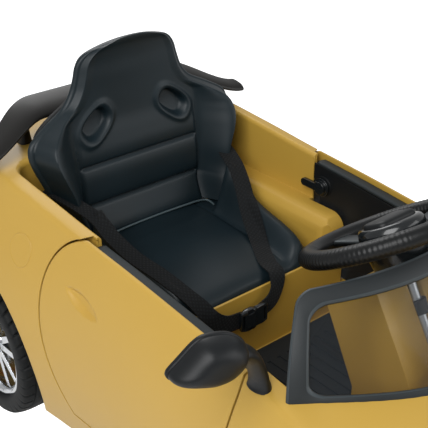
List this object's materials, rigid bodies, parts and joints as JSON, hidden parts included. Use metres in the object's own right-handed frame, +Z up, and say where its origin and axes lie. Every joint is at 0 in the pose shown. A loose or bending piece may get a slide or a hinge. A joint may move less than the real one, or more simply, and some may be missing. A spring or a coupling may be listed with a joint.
{
  "type": "child's car barber chair",
  "caption": "Child's salon seat: a sports-car shell with bucket seat, lap belt, steering wheel, doors and wheels on a swivelling hydraulic pump base.",
  "frame": {"origin": "on the floor, on the pump axis, which is also the middle of the overall width and length", "axes": "+Z up, -Y towards the car's nose, +X towards the rider's left"},
  "size_m": [0.6956, 1.2306, 0.8663],
  "materials": {
    "chrome": "polished",
    "rubber": "matte",
    "steel": "satin",
    "black_plastic": "satin",
    "brass": "satin",
    "frame_paint": "satin",
    "caliper_paint": "gloss",
    "body_yellow": "gloss",
    "mat_rubber": "matte",
    "seat_leather": "soft sheen",
    "webbing": "woven",
    "trim_grey": "satin",
    "screen_glass": "clear",
    "mirror": "polished",
    "wing_black": "satin",
    "lamp_lens": "clear",
    "tail_lens": "gloss",
    "tyre": "matte",
    "rim_chrome": "polished"
  },
  "bodies": {
    "base": {"base_plate": "chrome", "base_pad": "rubber", "pump_shroud": "chrome", "pump_cylinder": "steel", "pump_gland": "black_plastic", "base_screws": "steel", "lever_pin": "steel"},
    "lever": {"pump_lever": "chrome", "lever_tread": "rubber"},
    "ram": {"pump_ram": "chrome", "thrust_washer": "brass"},
    "car": {"swivel_hub": "frame_paint", "mount_plate": "frame_paint", "plate_bolts": "steel", "sub_frame": "frame_paint", "rear_axle": "steel", "rear_calipers": "caliper_paint", "body_shell": "body_yellow", "floor_mat": "mat_rubber", "steering_console": "body_yellow", "column_bushes": "black_plastic", "seat_shell": "black_plastic", "seat_back_pad": "seat_leather", "seat_cushion": "seat_leather", "seat_belts": "webbing", "belt_buckle": "black_plastic", "belt_anchors": "steel", "windscreen_frame": "trim_grey", "windscreen_glass": "screen_glass", "mirror_housings": "black_plastic", "mirror_glasses": "mirror", "rear_wing": "wing_black", "head_lamps": "lamp_lens", "tail_lamps": "tail_lens", "nose_grille": "black_plastic", "rear_diffuser": "black_plastic", "door_pins": "steel"},
    "steering": {"steering_column": "steel", "steering_wheel": "black_plastic"},
    "horn": {"horn_pad": "trim_grey"},
    "tie_rod": {"tie_rod": "steel"},
    "door_left": {"door_left": "body_yellow", "door_lining_left": "black_plastic"},
    "door_right": {"door_right": "body_yellow", "door_lining_right": "black_plastic"},
    "latch_left": {"latch_left": "black_plastic"},
    "latch_right": {"latch_right": "black_plastic"},
    "knuckle_left": {"knuckle_left": "steel"},
    "knuckle_right": {"knuckle_right": "steel"},
    "wheel_front_left": {"tyre_front_left": "tyre", "rim_front_left": "rim_chrome"},
    "wheel_front_right": {"tyre_front_right": "tyre", "rim_front_right": "rim_chrome"},
    "wheel_rear_left": {"tyre_rear_left": "tyre", "rim_rear_left": "rim_chrome"},
    "wheel_rear_right": {"tyre_rear_right": "tyre", "rim_rear_right": "rim_chrome"}
  },
  "joints": [
    {"name": "pump_lift", "type": "slide", "parent": "base", "child": "ram", "axis": [0, 0, 1], "range_m": [0, 0.13]},
    {"name": "seat_swivel", "type": "hinge", "parent": "ram", "child": "car", "pos_m": [0, 0, 0.36], "axis": [0, 0, 1], "continuous": true},
    {"name": "pump_lever", "type": "hinge", "parent": "base", "child": "lever", "pos_m": [-0.066, 0, 0.092], "axis": [0, -1, 0], "range_deg": [0, 22], "stiffness_Nm_per_rad": 14, "springref_deg": -22.92},
    {"name": "door_left_hinge", "type": "hinge", "parent": "car", "child": "door_left", "pos_m": [0.258, -0.225, 0.47], "axis": [0, 0, -1], "range_deg": [0, 50]},
    {"name": "door_right_hinge", "type": "hinge", "parent": "car", "child": "door_right", "pos_m": [-0.258, -0.225, 0.47], "axis": [0, 0, 1], "range_deg": [0, 50]},
    {"name": "latch_left_turn", "type": "hinge", "parent": "door_left", "child": "latch_left", "pos_m": [0.204, 0.098, 0.6244], "axis": [1, 0, 0], "range_deg": [0, 90]},
    {"name": "latch_right_turn", "type": "hinge", "parent": "door_right", "child": "latch_right", "pos_m": [-0.204, 0.098, 0.6244], "axis": [1, 0, 0], "range_deg": [0, 90]},
    {"name": "steering", "type": "hinge", "parent": "car", "child": "steering", "pos_m": [0, -0.207, 0.746], "axis": [0, 0.5, 0.866], "range_deg": [-25, 25]},
    {"name": "horn_press", "type": "slide", "parent": "steering", "child": "horn", "axis": [0, -0.5, -0.866], "range_m": [0, 0.003], "stiffness_N_per_m": 900, "springref_m": -0.003},
    {"name": "knuckle_left_turn", "type": "hinge", "parent": "car", "child": "knuckle_left", "pos_m": [0.196, -0.412, 0.385], "axis": [0, 0, 1], "range_deg": [-25.5, 25.5]},
    {"name": "knuckle_right_turn", "type": "hinge", "parent": "car", "child": "knuckle_right", "pos_m": [-0.196, -0.412, 0.385], "axis": [0, 0, 1], "range_deg": [-25.5, 25.5]},
    {"name": "tie_rod_slide", "type": "slide", "parent": "car", "child": "tie_rod", "axis": [1, 0, 0], "range_m": [-0.0187, 0.0187]},
    {"name": "wheel_front_left_spin", "type": "hinge", "parent": "knuckle_left", "child": "wheel_front_left", "pos_m": [0.24, -0.412, 0.385], "axis": [1, 0, 0], "continuous": true},
    {"name": "wheel_front_right_spin", "type": "hinge", "parent": "knuckle_right", "child": "wheel_front_right", "pos_m": [-0.24, -0.412, 0.385], "axis": [1, 0, 0], "continuous": true},
    {"name": "wheel_rear_left_spin", "type": "hinge", "parent": "car", "child": "wheel_rear_left", "pos_m": [0.24, 0.378, 0.385], "axis": [1, 0, 0], "continuous": true},
    {"name": "wheel_rear_right_spin", "type": "hinge", "parent": "car", "child": "wheel_rear_right", "pos_m": [-0.24, 0.378, 0.385], "axis": [1, 0, 0], "continuous": true}
  ],
  "couplings": [
    {"joint": "knuckle_left_turn", "follows": "steering", "ratio": 1},
    {"joint": "knuckle_right_turn", "follows": "steering", "ratio": 1},
    {"joint": "tie_rod_slide", "follows": "steering", "m_per_rad": -0.042}
  ]
}
